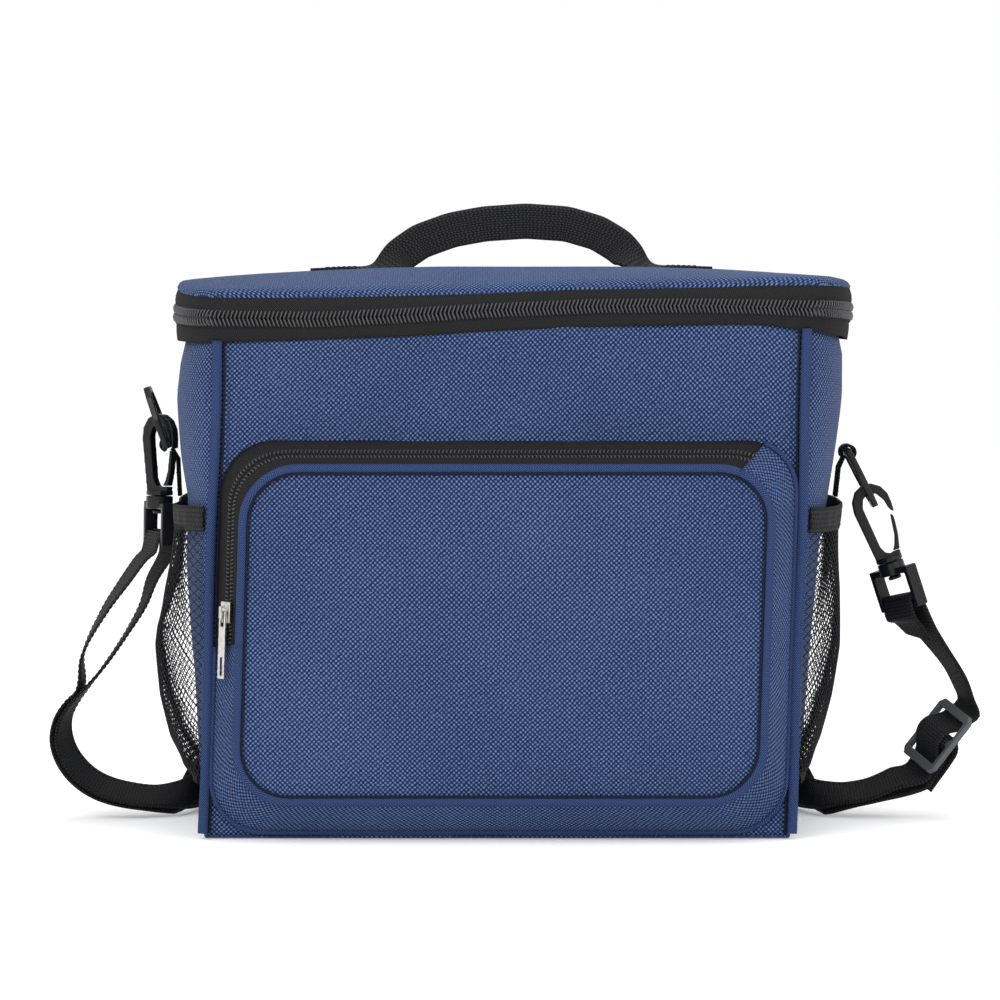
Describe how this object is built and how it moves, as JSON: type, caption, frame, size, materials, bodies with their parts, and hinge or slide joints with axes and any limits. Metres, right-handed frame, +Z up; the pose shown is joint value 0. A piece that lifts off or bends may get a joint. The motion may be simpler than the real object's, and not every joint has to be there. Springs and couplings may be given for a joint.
{
  "type": "insulated cooler bag",
  "caption": "Soft insulated cooler bag with zipped lid, top handle, zipped front pocket, net side pockets and a clip-on shoulder strap.",
  "frame": {"origin": "on the floor under the middle of the bag's base", "axes": "+X to the right seen from the front, -Y towards the front pocket, +Z up"},
  "size_m": [0.4956, 0.2275, 0.3275],
  "materials": {
    "navy_oxford": "woven navy oxford cloth",
    "navy_piping": "navy cloth over a round cord",
    "foam": "closed-cell foam",
    "silver_lining": "silvered film",
    "black_coil": "nylon zip coil",
    "black_tape": "woven zip tape",
    "black_webbing": "ribbed webbing",
    "black_net": "open knitted net",
    "black_elastic": "ribbed elastic band",
    "black_acetal": "moulded, soft sheen",
    "nickel_zinc": "nickel plated zinc"
  },
  "bodies": {
    "body": {"front_panel": "navy_oxford", "back_panel": "navy_oxford", "left_panel": "navy_oxford", "right_panel": "navy_oxford", "base_panel": "navy_oxford", "foam_front": "foam", "foam_back": "foam", "foam_left": "foam", "foam_right": "foam", "foam_base": "foam", "liner": "silver_lining", "piping_front_left": "navy_piping", "piping_front_right": "navy_piping", "piping_back_left": "navy_piping", "piping_back_right": "navy_piping", "lid_zip_lower_tape": "black_tape", "lid_zip_lower_coil": "black_coil", "lid_hinge_strip": "navy_oxford", "pocket_gusset": "navy_oxford", "pocket_front_panel": "navy_oxford", "pocket_piping": "navy_oxford", "pocket_zip_outer_tape": "black_tape", "pocket_zip_outer_coil": "black_coil", "net_pocket_left": "black_net", "net_pocket_right": "black_net", "elastic_left": "black_elastic", "elastic_right": "black_elastic", "ring_tab_left": "black_webbing", "ring_tab_right": "black_webbing", "yoke_left": "black_acetal", "yoke_right": "black_acetal", "tri_glide": "black_acetal", "strap_long_run": "black_webbing", "strap_return_run": "black_webbing"},
    "lid": {"lid_top_panel": "navy_oxford", "lid_foam": "foam", "lid_liner": "silver_lining", "lid_zip_upper_tape": "black_tape", "lid_zip_upper_coil": "black_coil", "handle_end_left": "black_webbing", "handle_end_right": "black_webbing"},
    "handle": {"handle_webbing": "black_webbing"},
    "lid_slider": {"lid_slider": "nickel_zinc"},
    "lid_pull": {"lid_pull": "nickel_zinc"},
    "pocket_flap": {"pocket_flap": "navy_oxford", "pocket_flap_piping": "navy_oxford", "pocket_zip_inner_tape": "black_tape", "pocket_zip_inner_coil": "black_coil"},
    "pocket_slider": {"pocket_slider": "nickel_zinc"},
    "pocket_pull": {"pocket_pull": "nickel_zinc"},
    "ring_left": {"ring_left": "black_acetal"},
    "ring_right": {"ring_right": "black_acetal"},
    "hook_left": {"hook_left": "black_acetal"},
    "hook_right": {"hook_right": "black_acetal"},
    "gate_left": {"hook_gate_left": "black_acetal"},
    "gate_right": {"hook_gate_right": "black_acetal"}
  },
  "joints": [
    {"name": "lid_hinge", "type": "hinge", "parent": "body", "child": "lid", "pos_m": [0.0087, 0.095, 0.277], "axis": [-1, 0, 0], "range_deg": [0, 110]},
    {"name": "handle_fold", "type": "hinge", "parent": "lid", "child": "handle", "pos_m": [0.00877, 0, 0.2965], "axis": [1, 0, 0], "range_deg": [-80, 80], "stiffness_Nm_per_rad": 0.05},
    {"name": "lid_slider_travel", "type": "slide", "parent": "body", "child": "lid_slider", "axis": [0, -1, 0], "range_m": [0, 0.09]},
    {"name": "lid_pull_swing", "type": "hinge", "parent": "lid_slider", "child": "lid_pull", "pos_m": [-0.17128, 0.062, 0.2701], "axis": [0, 0, 1], "range_deg": [0, 150]},
    {"name": "pocket_flap_open", "type": "hinge", "parent": "body", "child": "pocket_flap", "pos_m": [-0.1309, -0.1159, 0.1], "axis": [0.9445, 0, 0.3286], "range_deg": [0, 35]},
    {"name": "pocket_slider_travel", "type": "slide", "parent": "pocket_flap", "child": "pocket_slider", "axis": [0.031, 0, 0.9995], "range_m": [0, 0.045]},
    {"name": "pocket_pull_swing", "type": "hinge", "parent": "pocket_slider", "child": "pocket_pull", "pos_m": [-0.13994, -0.10713, 0.1171], "axis": [-0.5855, 0.8107, 0], "range_deg": [0, 150]},
    {"name": "ring_left_swing", "type": "hinge", "parent": "body", "child": "ring_left", "pos_m": [-0.1756, 0, 0.1996], "axis": [0, 1, 0], "range_deg": [-5, 5]},
    {"name": "ring_right_swing", "type": "hinge", "parent": "body", "child": "ring_right", "pos_m": [0.1865, 0, 0.1955], "axis": [0, 1, 0], "range_deg": [-3, 5]},
    {"name": "hook_left_swivel", "type": "hinge", "parent": "body", "child": "hook_left", "pos_m": [-0.1794, -0.0075, 0.1726], "axis": [0.02, 0, 0.9998], "range_deg": [-3, 8]},
    {"name": "hook_right_swivel", "type": "hinge", "parent": "body", "child": "hook_right", "pos_m": [0.2095, 0, 0.1369], "axis": [-0.3081, 0, 0.9513], "range_deg": [-12, 12]},
    {"name": "gate_left_flex", "type": "hinge", "parent": "hook_left", "child": "gate_left", "pos_m": [-0.17498, -0.01041, 0.17781], "axis": [-0.5591, -0.829, 0.0112], "range_deg": [0, 12], "stiffness_Nm_per_rad": 0.02},
    {"name": "gate_right_flex", "type": "hinge", "parent": "hook_right", "child": "gate_right", "pos_m": [0.21281, 0, 0.14354], "axis": [0, -1, 0], "range_deg": [0, 12], "stiffness_Nm_per_rad": 0.02}
  ]
}
